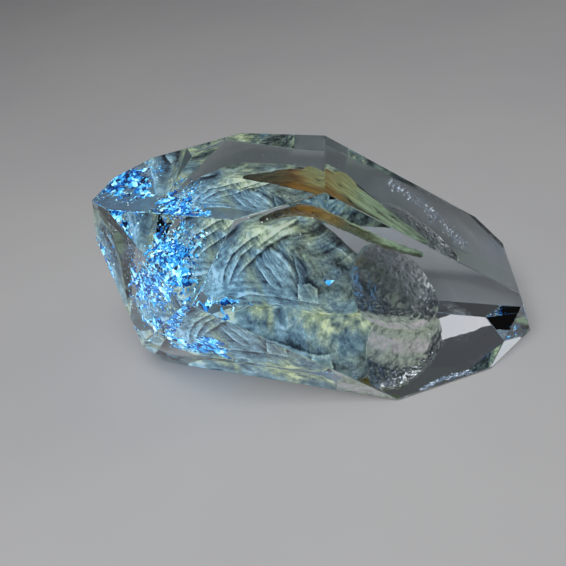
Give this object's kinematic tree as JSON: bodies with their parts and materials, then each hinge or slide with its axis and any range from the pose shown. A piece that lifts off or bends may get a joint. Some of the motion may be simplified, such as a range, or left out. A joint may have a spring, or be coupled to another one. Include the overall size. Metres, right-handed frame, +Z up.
{
  "type": "petroleum quartz crystal",
  "caption": "Clear doubly terminated quartz crystal, flattened, lying on a tip face, with pale, blue and amber petroleum sealed inside.",
  "frame": {"origin": "on the surface that the crystal lies on, at the middle of its bounding box", "axes": "+X along the crystal, towards the tip that the picture shows at the right; +Z up, square to the tip face it lies on"},
  "size_m": [0.022, 0.0138, 0.01],
  "materials": {
    "clear_quartz": "clear, polished natural crystal faces",
    "pale_oil": "cloudy pale yellow-green oil, folded",
    "rough_oil_wall": "etched, grainy grey-green cavity",
    "blue_oil": "glowing blue oil in small flakes",
    "bitumen": "glossy amber to brown bitumen"
  },
  "bodies": {
    "root": {"crystal_front_half": "clear_quartz", "crystal_back_half": "clear_quartz", "oil_lobe": "pale_oil", "rough_lobe": "rough_oil_wall", "blue_oil_cluster": "blue_oil", "bitumen_streak": "bitumen"}
  },
  "joints": []
}
